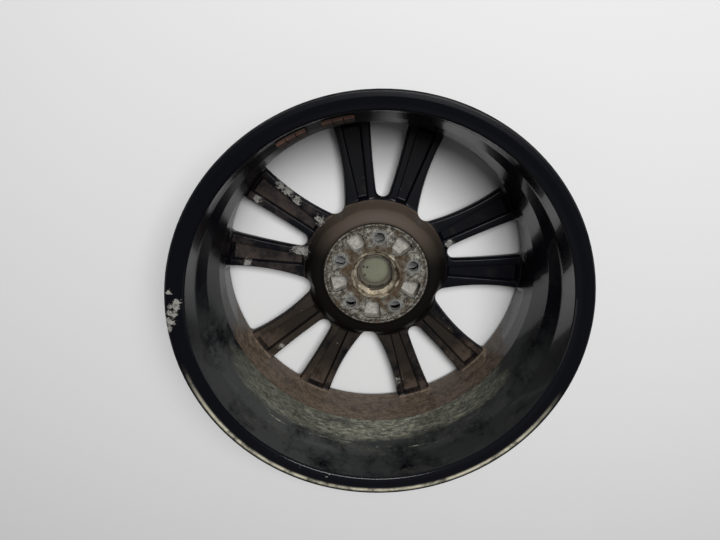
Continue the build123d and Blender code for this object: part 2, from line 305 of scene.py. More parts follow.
def along(guide, run):
    """Points on a guide line at the given runs."""
    distance, path = guide
    return np.stack([np.interp(run, distance, path[:, k]) for k in (0, 1)], axis=-1)


def run_at_radius(guide, radii):
    """Run at which a guide line crosses each radius."""
    distance, path = guide
    return np.interp(radii, np.linalg.norm(path, axis=1), distance)


# %% Spokes: the flat grid of one sector
CHANNEL_ANGLE, CHANNEL_HALF = 14.5, 3.3
# Rows near the hub, as the run up the wide window, the radius in the channel and the run up the
# narrow window. They close up where a window's tip begins, and FAR_RADII follows them outwards.
NEAR_HUB = np.array([
    (82, 82, 82), (85.5, 85.5, 85.5), (88.5, 88.5, 88.5), (90.5, 90.5, 90.5), (92.5, 92.5, 92.5),
    (94.4, 94.6, 94.8), (95.3, 96.2, 97), (96.0, 97.6, 98.6), (97.0, 99.2, 100.6),
    (98.6, 101.2, 103), (100.6, 103.2, 105.4), (102.4, 105.2, 107.6), (103.7, 107.0, 109.2),
    (105.2, 108.6, 110.2), (106.7, 109.8, 110.9), (108.2, 110.8, 111.6), (109.8, 111.4, 112.4),
    (111.4, 111.8, 113.3), (113.2, 112.2, 114.8), (115.2, 112.7, 116.4), (117.4, 113.2, 118.2),
    (119.8, 114.0, 120.2), (122.6, 115.2, 122.4), (125.8, 117.2, 124.8), (129.6, 120.2, 127.4),
    (134, 124.5, 130.4), (139.5, 130, 134),
])
WIDE_TIP_ROW, NARROW_TIP_ROW = 12, 17
FAR_RADII = np.array([
    136, 144, 153, 163, 173, 183, 193, 202, 209, 213.5, 215.3, 216.3, 217, 217.5, 218, 218.5,
    219.2, 220.2, 221, 221.8, 224, 229,
])
FLANK_STEPS = [0, 0.5, 1.0, 1.5, 2.0, 2.5, 3.1, 4.0]
WALL_STEPS = [2.2, 1.5, 1.1, 0.75, 0.4, 0]
FLOOR_STEPS = [0.5, 1.2, 2.4]
FRONT_STEPS = [0, 0.4, 0.9, 1.5, 2.2, 3.2, 5.0]


def across(start, end, from_start, from_end, middle=1):
    """Rows of points between two columns, spaced in millimetres from each end.

    Radius and angle both change evenly from start to end.
    """
    first, last = (
        np.stack((np.linalg.norm(p, axis=1), np.arctan2(p[:, 1], p[:, 0])), -1)
        for p in (start, end)
    )
    length = np.linalg.norm(end - start, axis=1)[:, None]
    low = np.array(from_start) / length
    high = 1 - np.array(from_end) / length
    fill = np.linspace(0, 1, middle + 2)[1:-1]
    between = low[:, -1:] * (1 - fill) + high[:, :1] * fill
    share = np.hstack((low, between, high))[..., None]
    mixed = first[:, None] * (1 - share) + last[:, None] * share
    radius, angle = mixed[..., 0], mixed[..., 1]
    return np.stack((radius * np.cos(angle), radius * np.sin(angle)), -1)


wide_guide = guide_line(WIDE_SIDE, HALF_PAIR)
narrow_guide = guide_line(NARROW_SIDE, 0.0)
wide_run = np.concatenate((NEAR_HUB[:, 0], run_at_radius(wide_guide, FAR_RADII)))
narrow_run = np.concatenate((NEAR_HUB[:, 2], run_at_radius(narrow_guide, FAR_RADII)))
wide_run[WIDE_TIP_ROW] = wide_guide[0][1]
narrow_run[NARROW_TIP_ROW] = narrow_guide[0][1]
channel_radius = np.concatenate((NEAR_HUB[:, 1], FAR_RADII))
at_wide, at_narrow = along(wide_guide, wide_run), along(narrow_guide, narrow_run)
channel_line = np.stack((channel_radius, channel_radius * 0), axis=-1)
line_out = turned_by(channel_line, CHANNEL_ANGLE + CHANNEL_HALF)
line_in = turned_by(channel_line, CHANNEL_ANGLE - CHANNEL_HALF)
back_grid = np.concatenate((
    across(at_wide, line_out, FLANK_STEPS, WALL_STEPS)[:, :-1],
    across(line_out, line_in, [0] + FLOOR_STEPS, FLOOR_STEPS[::-1] + [0]),
    across(line_in, at_narrow, WALL_STEPS[::-1], FLANK_STEPS[::-1])[:, 1:],
), axis=1)
front_grid = across(at_wide, at_narrow, FRONT_STEPS, FRONT_STEPS[::-1], middle=8)
print("sector grids:", back_grid.shape[:2], "back,", front_grid.shape[:2], "front")

# %% Spokes: heights
BOSS_RADII = (70.5, 80.5, 90.5, 98.0, 103.5, 109.0, 230.0)
BOSS_HEIGHTS = (-0.4, -3.0, -5.6, -9.5, -17.0, -23.5, -23.5)
FACE_RADII, FACE_HEIGHTS = (60.0, 78.0, 160.0, 229.5), (-35.46, -37.0, -44.0, -49.5)
CHANNEL_FLOOR, CHANNEL_ENDS, CHANNEL_WALL, END_SLOPE = -32.5, (113.6, 216.0), 7.115, 0.42
ROOT_START, ROOT_FILLET = 217.8, 4.0
BOSS_SOFT, BACK_SOFT, CHANNEL_SOFT, FRONT_SOFT = 2.5, 3.0, 4.0, 7.0


def distance_to(points, line):
    """Least distance from each point to the straight pieces of a line."""
    start, step = line[:-1], np.diff(line, axis=0)
    offset = points[:, None] - start
    share = np.clip((offset * step).sum(-1) / (step**2).sum(-1), 0, 1)
    return np.linalg.norm(offset - share[..., None] * step, axis=-1).min(axis=1)


def flank_distance(grid):
    """Distance from each grid point to the nearest window, nought on the outline itself."""
    points = grid.reshape(-1, 2)
    mirror = turned_by(turned_by(WIDE_SIDE, -HALF_PAIR) * (1, -1), HALF_PAIR)
    lines = (WIDE_SIDE, NARROW_SIDE, mirror, NARROW_SIDE * (1, -1))
    nearest = np.min([distance_to(points, line) for line in lines], axis=0)
    return nearest.reshape(grid.shape[:2])


def softened(radius, radii, heights, reach):
    """A profile given by corner points, averaged over a reach each way to round its corners."""
    shifts = np.linspace(-reach, reach, 9)
    return np.mean([np.interp(radius + shift, radii, heights) for shift in shifts], axis=0)


def back_height(grid, flank):
    """Height of the inboard side: least of hub curve, flank and channel, corners rounded."""
    radius = np.linalg.norm(grid, axis=-1)
    angle = np.arctan2(grid[..., 1], grid[..., 0])
    off_axis = np.abs(angle - np.radians(CHANNEL_ANGLE)) * radius
    outside = np.maximum.reduce((
        off_axis - radius * np.radians(CHANNEL_HALF),
        (CHANNEL_ENDS[0] - radius) * END_SLOPE,
        (radius - CHANNEL_ENDS[1]) * END_SLOPE,
    ))
    wall = CHANNEL_FLOOR + outside * CHANNEL_WALL
    channel = smooth_most(np.full_like(wall, CHANNEL_FLOOR), wall, CHANNEL_SOFT)
    base = softened(radius, BOSS_RADII, BOSS_HEIGHTS, BOSS_SOFT)
    rise = np.clip(radius - ROOT_START, 0, ROOT_FILLET)
    base = base + ROOT_FILLET - np.sqrt(ROOT_FILLET**2 - rise**2)
    height = smooth_least(base, PARTING_Z + flank / BACK_FLANK, BACK_SOFT)
    return smooth_least(height, channel, CHANNEL_SOFT)


def front_height(grid, flank):
    """Height of the outboard side: greatest of the dished face and the flank."""
    radius = np.linalg.norm(grid, axis=-1)
    face = np.interp(radius, FACE_RADII, FACE_HEIGHTS)
    return smooth_most(face, PARTING_Z - flank / FRONT_FLANK, FRONT_SOFT)


def open_faces(rows, columns):
    """Quads of an open grid."""
    row, column = np.meshgrid(np.arange(rows - 1), np.arange(columns - 1), indexing="ij")
    corner = row * columns + column
    quads = (corner, corner + 1, corner + columns + 1, corner + columns)
    return np.stack(quads, axis=-1).reshape(-1, 4)


def all_sectors(grid, height):
    """The grid with its heights, turned into the ten sectors; every other one is mirrored."""
    rows, columns = height.shape
    points, faces = [], []
    for index in range(10):
        sign = 1 if index % 2 == 0 else -1
        flat = turned_by(grid.reshape(-1, 2) * (1, sign), PAIR + FIFTHS[index // 2])
        points.append(np.column_stack((flat, height.ravel())))
        faces.append(open_faces(rows, columns) + index * rows * columns)
    return np.concatenate(points), np.concatenate(faces)


back_flank, front_flank = flank_distance(back_grid), flank_distance(front_grid)
back_points, back_faces = all_sectors(back_grid, back_height(back_grid, back_flank))
front_points, front_faces = all_sectors(front_grid, front_height(front_grid, front_flank))
print("spokes:", 2 * (len(back_faces) + len(front_faces)), "triangles")

# %% [markdown]
# ### The hub and the joining
# The middle of the hub is machined: a flat pad, five holes with cone seats, five cast pockets
# and a stepped bore. Those forms are already exact in the CAD mesh, so a copy of that part of
# it is merged, its corners get a small bevel, and it is bridged to the grids around it.

# %% Hub core from the CAD mesh
BACK_RADIUS, FRONT_RADIUS, FRONT_Z = 80.5, 78.0, -36.9
FLAT_ANGLE, SHARP_ANGLE = 0.5, 24.0
HUB_BEVEL = 0.45 * MM


def sharp_edges(work, angle):
    """Edges between two faces that meet at more than the angle, in degrees."""
    return [e for e in work.edges if e.is_manifold and e.calc_face_angle(0.0) > np.radians(angle)]


def rounded(work, edges, offset):
    """Bevels the edges by an offset, in two steps."""
    bmesh.ops.bevel(
        work, geom=edges, offset=offset, offset_type="OFFSET", segments=2, profile=0.5,
        affect="EDGES", clamp_overlap=True,
    )


def hub_core(node, back_limit, front_limit):
    """Bmesh of the CAD faces inside the pad's chamfer, merged, and its sharp edges."""
    work = bmesh.new()
    work.from_mesh(node.data)
    bmesh.ops.remove_doubles(work, verts=work.verts, dist=0.01 * MM)
    far = []
    for face in work.faces:
        reach = max(corner.co.xy.length for corner in face.verts)
        deep = max(corner.co.z for corner in face.verts) < FRONT_Z * MM
        if reach > (front_limit if deep else back_limit) + 0.1 * MM:
            far.append(face)
    bmesh.ops.delete(work, geom=far, context="FACES")
    bmesh.ops.dissolve_limit(
        work, angle_limit=np.radians(FLAT_ANGLE), use_dissolve_boundaries=False,
        verts=work.verts, edges=work.edges,
    )
    bmesh.ops.triangulate(work, faces=work.faces)
    return work, sharp_edges(work, SHARP_ANGLE)


core, sharp = hub_core(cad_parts["wheel"], BACK_RADIUS * MM, FRONT_RADIUS * MM)
print("hub core:", len(core.faces), "faces,", len(sharp), "sharp edges")
rounded(core, sharp, HUB_BEVEL)
print("bevelled:", len(core.faces), "faces")

# %% Bridging the core to the spokes
RING_REACH = 0.3


def grow(work, points, faces):
    """Adds a grid, given in millimetres, to a bmesh."""
    mesh = bpy.data.meshes.new("grid")
    mesh.from_pydata((points * MM).tolist(), [], faces.tolist())
    work.from_mesh(mesh)
    bpy.data.meshes.remove(mesh)


def edge_ring(work, radius, z_test):
    """Open edges on a circle about the axle, within RING_REACH of its radius."""
    return [
        e for e in work.edges
        if e.is_boundary and z_test(e.verts[0].co.z / MM)
        and all(abs(v.co.xy.length / MM - radius) < RING_REACH for v in e.verts)
    ]


grow(core, back_points, back_faces)
grow(core, front_points, front_faces)
bmesh.ops.remove_doubles(core, verts=core.verts, dist=0.02 * MM)
for inner, side in ((BACK_RADIUS, lambda z: z > -10), (FRONT_RADIUS, lambda z: z < -30)):
    loops = edge_ring(core, inner, side) + edge_ring(core, HUB_START, side)
    print("bridging", len(loops), "edges")
    bmesh.ops.bridge_loops(core, edges=loops)
bmesh.ops.holes_fill(core, edges=[e for e in core.edges if e.is_boundary], sides=0)
print("open edges left:", sum(e.is_boundary for e in core.edges))
grow(core, rim_points, rim_faces)
bmesh.ops.recalc_face_normals(core, faces=core.faces)

# %% The casting as one object
def finished(name, work, angle=30.0):
    """A bmesh made into an object at the origin: smooth, with true creases kept sharp."""
    mesh = bpy.data.meshes.new(name)
    work.to_mesh(mesh)
    work.free()
    mesh.polygons.foreach_set("use_smooth", np.ones(len(mesh.polygons), dtype=bool))
    mesh.set_sharp_from_angle(angle=np.radians(angle))
    piece = bpy.data.objects.new(name, mesh)
    bpy.context.collection.objects.link(piece)
    even = piece.modifiers.new("flat faces stay flat", "WEIGHTED_NORMAL")
    even.keep_sharp = True
    mesh.calc_loop_triangles()
    print(name, "has", len(mesh.loop_triangles), "triangles")
    return piece


casting = finished("wheel_casting", core)
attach(casting, "root")
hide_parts("wheel")

# %% [markdown]
# ## A small kit for materials
# A shader is a graph, and a long graph is hard to read as calls on nodes and links. One helper
# adds a node, sets its properties and feeds its inputs, and gives back the socket that comes
# out, so a pattern reads from the inside outwards as a formula does. A socket knows the tree it
# belongs to, so the new node goes into the tree of the sockets that feed it.

# %% Node helpers
def feed(socket, value):
    """Links a socket into an input, or writes a plain value there."""
    if isinstance(value, bpy.types.NodeSocket):
        socket.id_data.links.new(value, socket)
    else:
        socket.default_value = value


def put(kind, *inputs, out=0, **settings):
    """Adds a node to its inputs' tree, with properties by name, and returns one output."""
    tree = next(value.id_data for value in inputs if isinstance(value, bpy.types.NodeSocket))
    node = tree.nodes.new("ShaderNode" + kind)
    for name, value in settings.items():
        setattr(node, name, value)
    for socket, value in zip(node.inputs, inputs):
        if value is not None:
            feed(socket, value)
    return node.outputs[out]


def maths(operation, *inputs):
    """One step of arithmetic, such as ADD or MULTIPLY."""
    return put("Math", *inputs, operation=operation)


def chain(operation, values):
    """One operation carried on over all the values, from the first to the last."""
    result = values[0]
    for value in values[1:]:
        result = maths(operation, result, value)
    return result


def product(*factors):
    """All the factors multiplied together."""
    return chain("MULTIPLY", factors)


def greatest(*masks):
    """The greatest of the masks at each point."""
    return chain("MAXIMUM", masks)


def without(mask):
    """1 where the mask is 0, and 0 where it is 1."""
    return maths("SUBTRACT", 1.0, mask)


def plus(base, *terms):
    """The base, plus each term's value times its weight."""
    for value, weight in terms:
        base = maths("MULTIPLY_ADD", value, weight, base)
    return base


def distance(place, point):
    """Distance of every place from one point."""
    return put("VectorMath", place, point, operation="DISTANCE", out=1)


# %% Masks, colours and noise
def ramp(value, low, high):
    """0 below low, 1 above high, and a smooth step between; low may be the larger of the two."""
    if low > high:
        return without(ramp(value, high, low))
    return put("MapRange", value, low, high, 0.0, 1.0, interpolation_type="SMOOTHSTEP")


def band(value, low, high, soft):
    """1 between low and high, falling to 0 over a distance of soft on each side."""
    rise = ramp(value, low - soft, low + soft)
    return product(rise, ramp(value, high + soft, high - soft))


def blend(mask, under, over):
    """Colour under where the mask is 0 and over where it is 1."""
    node = mask.id_data.nodes.new("ShaderNodeMix")
    node.data_type = "RGBA"
    for name, value in (("Factor_Float", mask), ("A_Color", under), ("B_Color", over)):
        socket = next(s for s in node.inputs if s.identifier == name)
        feed(socket, value)
    return next(s for s in node.outputs if s.identifier == "Result_Color")


def layered(base, *coats):
    """Colours laid over a base one after another, each given as its mask and its colour."""
    for mask, colour in coats:
        base = blend(mask, base, colour)
    return base


def noise(place, scale, detail=4.0, rough=0.6):
    """Fractal noise from 0 to 1; scale is in waves per unit of place."""
    return put("TexNoise", place, None, scale, detail, rough)


def rgb(red, green, blue):
    """An opaque colour from its linear red, green and blue."""
    return (red, green, blue, 1.0)


def grey(value):
    """A neutral colour."""
    return rgb(value, value, value)


# %% [markdown]
# ## Where on the wheel
# Dirt on a wheel knows four things: how far out it is, how deep in the barrel, how near the
# side that was lowest when the wheel stood, and whether the surface is a ledge or a wall. The
# first group works these out from Object coordinates, in millimetres, and every finish below
# reads it, so that marks stay on the metal from any side. Down is 1 at the lowest side, Facing
# is 1 where the surface looks inboard, Upward where it looks away from the lowest side, and
# Outward where it looks away from the axle. Across is the distance to the right.

# %% Group: wheel coordinates
def new_group(name, inputs, outputs):
    """A new shader group with named sockets; inputs also have a starting value."""
    tree = bpy.data.node_groups.new(name, "ShaderNodeTree")
    for label, kind, value in inputs:
        socket = tree.interface.new_socket(name=label, in_out="INPUT", socket_type=kind)
        if value is not None:
            socket.default_value = value
    for label, kind in outputs:
        tree.interface.new_socket(name=label, in_out="OUTPUT", socket_type=kind)
    return tree, tree.nodes.new("NodeGroupInput"), tree.nodes.new("NodeGroupOutput")


def use(tree, group, **inputs):
    """Places a group in a material and feeds its inputs by name; returns its outputs."""
    node = tree.nodes.new("ShaderNodeGroup")
    node.node_tree = group
    for name, value in inputs.items():
        feed(node.inputs[name.replace("_", " ")], value)
    return node.outputs


FLOAT, VECTOR = "NodeSocketFloat", "NodeSocketVector"
MEASURES = ("Radius", "Height", "Across", "Down", "Facing", "Upward", "Outward")

place_group, _, ends = new_group(
    "Wheel coordinates", [], [("Place", VECTOR), *((name, FLOAT) for name in MEASURES)]
)
source = place_group.nodes.new("ShaderNodeTexCoord").outputs
place = put("VectorMath", source["Object"], (1 / MM,) * 3, operation="MULTIPLY")
x, y, z = put("SeparateXYZ", place).node.outputs
normal = put("SeparateXYZ", source["Normal"]).node.outputs
radius = maths("SQRT", plus(product(x, x), (y, y)))
down = maths("DIVIDE", product(y, -1.0), radius)
spread = put("VectorMath", place, source["Normal"], operation="DOT_PRODUCT", out=1)
sideways = maths("SUBTRACT", spread, product(z, normal[2]))
outward = maths("DIVIDE", sideways, radius)
feed(ends.inputs["Place"], place)
for name, socket in zip(MEASURES, (radius, z, x, down, normal[2], normal[1], outward)):
    feed(ends.inputs[name], socket)

# %% [markdown]
# ## Wear that several finishes share
# Three kinds of wear are groups, with the place, a scale and an amount as inputs. *Dirt* is a
# film of wide clouds with fine grain, used by the casting, the cap and the weights. *Chips* are
# small islands where the lacquer has let go. *Pits* are specks of corrosion on bare metal, which
# crowd in some places and leave others clean.

# %% Groups: dirt, chips and pits
dirt_group, begins, ends = new_group(
    "Dirt film",
    [("Place", VECTOR, None), ("Cover", FLOAT, 0.5), ("Cloud", FLOAT, 0.02), ("Grain", FLOAT, 0.6)],
    [("Mask", FLOAT), ("Tone", FLOAT)],
)
given = begins.outputs
cloud = noise(given["Place"], given["Cloud"], 6.0, 0.62)
grain = noise(given["Place"], given["Grain"], 3.0, 0.7)
mixed = plus(cloud, (maths("SUBTRACT", grain, 0.5), 0.35))
level = maths("SUBTRACT", maths("ADD", mixed, given["Cover"]), 1.0)
feed(ends.inputs["Mask"], ramp(level, -0.16, 0.16))
feed(ends.inputs["Tone"], mixed)

chip_group, begins, ends = new_group(
    "Chips",
    [("Place", VECTOR, None), ("Scale", FLOAT, 0.1), ("Amount", FLOAT, 0.5)],
    [("Mask", FLOAT)],
)
given = begins.outputs
bend = noise(given["Place"], product(given["Scale"], 3.0), 3.0, 0.7)
cells = noise(given["Place"], given["Scale"], 5.0, 0.72)
shape = plus(cells, (maths("SUBTRACT", bend, 0.5), 0.3))
level = maths("SUBTRACT", maths("ADD", shape, given["Amount"]), 1.0)
feed(ends.inputs["Mask"], ramp(level, 0.0, 0.02))

pit_group, begins, ends = new_group(
    "Corrosion pits",
    [("Place", VECTOR, None), ("Scale", FLOAT, 0.3), ("Amount", FLOAT, 0.5)],
    [("Mask", FLOAT)],
)
given = begins.outputs
speckle = noise(given["Place"], given["Scale"], 3.0, 0.55)
crowd = noise(given["Place"], product(given["Scale"], 0.13), 5.0, 0.65)
thick = product(maths("SUBTRACT", crowd, 0.5), given["Amount"])
feed(ends.inputs["Mask"], ramp(maths("ADD", speckle, thick), 0.49, 0.57))
print("groups:", [group.name for group in bpy.data.node_groups])

# %% [markdown]
# ## The wheel's finish
# One casting carries one material, but it wears differently by place. Masks from the wheel
# coordinates name the places: the machined mounting pad, the pockets between the bolt holes,
# the bore, the dusty hub boss and spokes, the drop well where brake dust settles, and the lip.

# %% Material: where each finish begins and ends
def principled(name, **constants):
    """A new material, its node tree and its Principled shader, with constants set by name."""
    material = bpy.data.materials.new(name)
    material.use_nodes = True
    shader = material.node_tree.nodes["Principled BSDF"]
    for label, value in constants.items():
        shader.inputs[label.replace("_", " ")].default_value = value
    return material, material.node_tree, shader


alloy, tree, shader = principled("black_alloy", Coat_Roughness=0.05, Specular_IOR_Level=0.07)
at = use(tree, place_group)
place, radius, height, down = at["Place"], at["Radius"], at["Height"], at["Down"]
low_side = ramp(down, 0.28, 0.62)
left = ramp(at["Across"], -55.0, -115.0)
ledge = ramp(at["Facing"], 0.45, 0.85)
inboard = ramp(at["Facing"], -0.6, -0.3)
inner_side = ramp(at["Outward"], 0.05, -0.1)
tyre_side = product(ramp(at["Outward"], 0.05, 0.2), ramp(radius, 225.0, 225.8))
barrel = ramp(radius, 219.5, 221.5)
centre = without(barrel)
boss = band(radius, 78.5, 109.0, 1.5)
pad = product(ramp(radius, 78.0, 77.4), ramp(height, -1.4, -0.9))
bore = product(ramp(radius, 37.0, 36.0), ramp(height, -33.0, -31.5))
notch = product(ramp(radius, 48.0, 47.0), band(height, -2.9, -1.2, 0.3))
pocket = product(band(radius, 41.5, 71.5, 0.5), band(height, -18.0, -1.2, 0.3))
pocket_floor = product(pocket, ramp(height, -15.5, -16.6))
channel = product(centre, band(radius, 112.0, 219.0, 1.0), ramp(height, -30.4, -31.4))
lip = product(band(radius, 253.4, 256.6, 1.9), ramp(height, 156.2, 157.2))
print("masks for the casting:", len(tree.nodes), "nodes")

# %% [markdown]
# ### Film and smudges in the barrel
# Water left a pale, chalky film in the lowest part of the barrel, streaked round the wall and
# thickest just inboard of the drop well. A picture of dirt wrapped on the wall would stretch and
# show its seam, so the film is noise squeezed along the axle, and a mask thins it upwards.

# %% Material: film and smudges
def stretched(place, x, y, z):
    """Object place scaled by axis, which squeezes a pattern along the larger numbers."""
    return put("VectorMath", place, (x, y, z), operation="MULTIPLY")


smear_place = stretched(place, 1.0, 1.0, 4.0)
speck = use(tree, dirt_group, Place=place, Cover=0.5, Cloud=0.25, Grain=1.2)["Mask"]
above_well = product(barrel, inner_side, band(height, 40.0, 151.0, 1.0))
deep_band = product(ramp(height, 39.0, 40.5), ramp(height, 94.0, 72.0))
shoulder = band(height, 83.0, 100.0, 4.0)

film_cover = plus(0.22, (deep_band, 0.32), (shoulder, -0.07))
film_cover = plus(0.12, (film_cover, low_side))
film = use(tree, dirt_group, Place=smear_place, Cover=film_cover, Cloud=0.011, Grain=0.30)
streak = noise(stretched(place, 0.35, 0.35, 5.0), 0.05, 5.0, 0.7)
streaked = product(
    ramp(streak, 0.56, 0.70), above_well, band(height, 52.0, 104.0, 10.0),
    ramp(down, 0.35, 0.85), plus(0.5, (speck, 0.5)),
)
filmy = product(film["Mask"], above_well, plus(0.50, (speck, 0.35)))
filmy = greatest(filmy, streaked)

drift = ramp(noise(place, 0.014, 4.0, 0.6), 0.38, 0.58)
paler = product(deep_band, ramp(down, 0.5, 1.0), plus(0.2, (drift, 0.8)))
stipple = noise(stretched(place, 0.45, 0.45, 1.3), 0.20, 9.0, 0.76)
chalk = product(ramp(stipple, 0.34, 0.66), plus(0.3, (paler, 0.75)))
chalk = greatest(chalk, streaked)

smudge = use(tree, dirt_group, Place=place, Cover=0.59, Cloud=0.016, Grain=0.14)
smudged = product(
    smudge["Mask"], above_well, ramp(down, -0.1, 0.45),
    plus(0.5, (ramp(at["Across"], 60.0, -80.0), 0.35)),
)
gummed = product(
    above_well, band(height, 44.0, 112.0, 5.0), ramp(down, -0.70, -0.80),
    ramp(at["Across"], 10.0, -30.0),
)

# %% [markdown]
# ### Brake dust
# Brake dust is fine and brown. It settles in the drop well, on the hub's boss and on every ledge
# that faced the brake, and washes off the walls; the bare black walls also stand in for painted
# shade in the channels. So its cover depends on the place and on which way the surface faces, and
# the same film group breaks its edge up. Two thin crease lines in the well are kept free of dust as
# painted shade.

# %% Material: brake dust
scrape_place = stretched(place, 1.0, 1.0, 1.1)
scrape = noise(scrape_place, 0.10, 9.0, 0.78)
brown_cover = plus(0.30, (low_side, 0.55))
brown = use(tree, dirt_group, Place=scrape_place, Cover=brown_cover, Cloud=0.02, Grain=0.3)
# Two thin lines at the well's creases are kept free of dust, so they show black as painted shade;
# the relief also sinks them as grooves.
crease_shade_and_groove = greatest(*(band(height, z, z + 1.2, 0.3) for z in (38.2, 4.6)))
in_well = product(barrel, inner_side, ramp(height, 40.5, 38.5), ramp(height, -50.0, -44.0))
well_dust_and_crease_shade = product(brown["Mask"], in_well, plus(0.7, (speck, 0.25)), plus(1.0, (crease_shade_and_groove, -0.7)))

dust_cover = plus(0.16, (low_side, 0.34), (channel, 0.16), (left, 0.24), (boss, 0.66))
settled = use(tree, dirt_group, Place=place, Cover=dust_cover, Cloud=0.03, Grain=0.6)
# Walls get less dust and stay black: partly real, partly painted shade in the channels and
# crevices.
ledge_dust_and_wall_shade = greatest(plus(0.4, (ledge, 0.6)), product(boss, 0.8))
dust_and_wall_shade = product(settled["Mask"], centre, inboard, ledge_dust_and_wall_shade)

# %% [markdown]
# ### Flakes where the lacquer has let go
# Lacquer lifts where a stone or a tyre lever broke it, in ragged islands with a hard edge. The
# large ones are spots with their own centre and size, bent by noise, because they lie in known
# places; tiny ones come from the shared chip group. The lip is worn where it touched ground, and
# its pale line there is partly a painted highlight.

# %% Material: flakes and the worn lip with its painted highlight
spot_group, begins, ends = new_group(
    "Flaked spot",
    [("Place", VECTOR, None), ("Centre", VECTOR, (0, 0, 0)), ("Size", FLOAT, 5.0)],
    [("Mask", FLOAT)],
)
given = begins.outputs
jagged = noise(given["Place"], 0.24, 6.0, 0.75)
away = distance(given["Place"], given["Centre"])
share = maths("DIVIDE", away, given["Size"])
edge = plus(share, (maths("SUBTRACT", jagged, 0.5), -6.0))
feed(ends.inputs["Mask"], ramp(edge, 1.0, 0.93))

# Middle and size of each large flake, in millimetres; the first six lie on the flange.
FLAKES = [
    ((-248.5, -10.0, 156.0), 5.5), ((-254.0, -29.0, 157.0), 5.0), ((-247.0, -5.0, 155.5), 4.5),
    ((-251.0, -19.0, 156.5), 5.0), ((-256.0, -37.0, 157.0), 4.5), ((-254.5, 9.0, 157.5), 3.0),
    ((-139.0, 111.0, -23.5), 8.5), ((-149.0, 119.5, -24.0), 7.0), ((-126.0, 98.0, -23.5), 6.0),
    ((-92.0, 69.0, -23.5), 7.5), ((-117.0, 25.0, -23.5), 9.5), ((-109.0, 20.0, -23.5), 7.0),
    ((-184.0, 96.0, -23.5), 5.0), ((107.0, 51.0, -23.5), 5.5), ((113.0, 46.0, -23.5), 4.5),
    ((49.0, -186.0, -26.0), 7.0), ((47.0, -196.0, -24.0), 5.0), ((-196.0, -3.0, -23.5), 6.5),
    ((-137.0, -138.0, -23.5), 4.0),
]
flaked = greatest(*(
    use(tree, spot_group, Place=place, Centre=middle, Size=size)["Mask"] for middle, size in FLAKES
))
small = product(
    use(tree, chip_group, Place=place, Scale=0.09, Amount=0.30)["Mask"], inboard,
    greatest(centre, low_side), without(greatest(tyre_side, boss)),
)
bare = greatest(flaked, small)
rubbed = ramp(noise(place, 0.05, 8.0, 0.7), 0.34, 0.56)
# The lower side of the lip is pale: partly worn metal, partly a painted highlight.
worn_and_highlit_lip = product(lip, ramp(down, 0.32, 0.68), plus(0.18, (rubbed, 0.80)))
print("flakes:", len(FLAKES))

# %% [markdown]
# ### The machined pad, the pockets and the bore
# The pad was cut bare and has bloomed into pale oxide with dark pits, browner towards the bore.
# Under each bolt head it stayed cleaner. The pockets were never machined, so their floors keep the
# pale cast skin. Their walls are painted dark as shade, and painted pale as lit on the side that
# faces up.

# %% Material: colours of the hub
PAD, PAD_DARK, PAD_RING = rgb(0.330, 0.322, 0.285), rgb(0.032, 0.027, 0.020), rgb(0.30, 0.29, 0.27)
RUST = rgb(0.058, 0.034, 0.016)
WASHER_DARK, WASHER_PALE = rgb(0.09, 0.09, 0.088), rgb(0.26, 0.27, 0.27)
BORE_PALE, BORE_DARK = rgb(0.48, 0.43, 0.335), rgb(0.080, 0.058, 0.036)
SKIN_PALE, SKIN_DARK = rgb(0.42, 0.40, 0.37), rgb(0.16, 0.15, 0.135)
# The pocket walls' colour is painted shade.
WALL_SHADE = rgb(0.028, 0.023, 0.019)
BOLT_RADIUS, FIRST_BOLT = 57.15, 18.0

bolt_turns = np.radians(FIRST_BOLT + FIFTHS)
flat_place = stretched(place, 1.0, 1.0, 0.0)
bolt_away = chain("MINIMUM", [
    distance(flat_place, (BOLT_RADIUS * np.cos(t), BOLT_RADIUS * np.sin(t), 0.0))
    for t in bolt_turns
])
washer = product(band(bolt_away, 0.0, 11.0, 2.5), 0.6)

pits = use(tree, pit_group, Place=place, Scale=0.85, Amount=0.9)["Mask"]
crust = noise(place, 0.2, 9.0, 0.80)
rust_cloud = noise(place, 0.05, 6.0, 0.72)
near_bore = product(ramp(radius, 62.0, 34.0), 0.16)
rusty = ramp(maths("ADD", near_bore, rust_cloud), 0.52, 0.64)
near_edge = product(ramp(radius, 69.0, 76.0), 0.10)
oxide = ramp(maths("SUBTRACT", crust, near_edge), 0.38, 0.60)
ring = product(band(radius, 75.2, 76.8, 0.4), ramp(crust, 0.42, 0.58), 0.6)
pad_colour = layered(
    PAD_DARK, (oxide, PAD), (pits, PAD_DARK), (product(rusty, 0.8), RUST),
    (washer, blend(crust, WASHER_DARK, WASHER_PALE)), (ring, PAD_RING),
)
bore_colour = blend(ramp(rust_cloud, 0.34, 0.60), BORE_PALE, BORE_DARK)
skin_colour = blend(ramp(crust, 0.25, 0.70), SKIN_DARK, SKIN_PALE)
# Pocket walls that face up are painted pale as lit; the others keep the painted shade colour.
lit_lower_wall = product(ramp(at["Upward"], 0.15, 0.55), ramp(height, -2.0, -5.0))
wall_shade_and_light = blend(product(lit_lower_wall, 0.9), WALL_SHADE, skin_colour)

# %% [markdown]
# ### All the colours, one over another
# Paint, dirt and bare metal lie on a real wheel in an order, and the colour is built in the
# same order: black lacquer first, then what lies on it, then the places where it is gone.

# %% Material: colours of paint, film and dust
BLACK, SEAT_GREY, SMUDGE = (
    rgb(0.0022, 0.0024, 0.0040), rgb(0.045, 0.045, 0.043), rgb(0.055, 0.058, 0.056)
)
FILM_PALE, FILM_DARK = rgb(0.400, 0.392, 0.300), rgb(0.046, 0.048, 0.042)
WELL_DUST, WELL_DARK, WELL_TAN = (
    rgb(0.185, 0.142, 0.106), rgb(0.082, 0.060, 0.045), rgb(0.195, 0.140, 0.098)
)
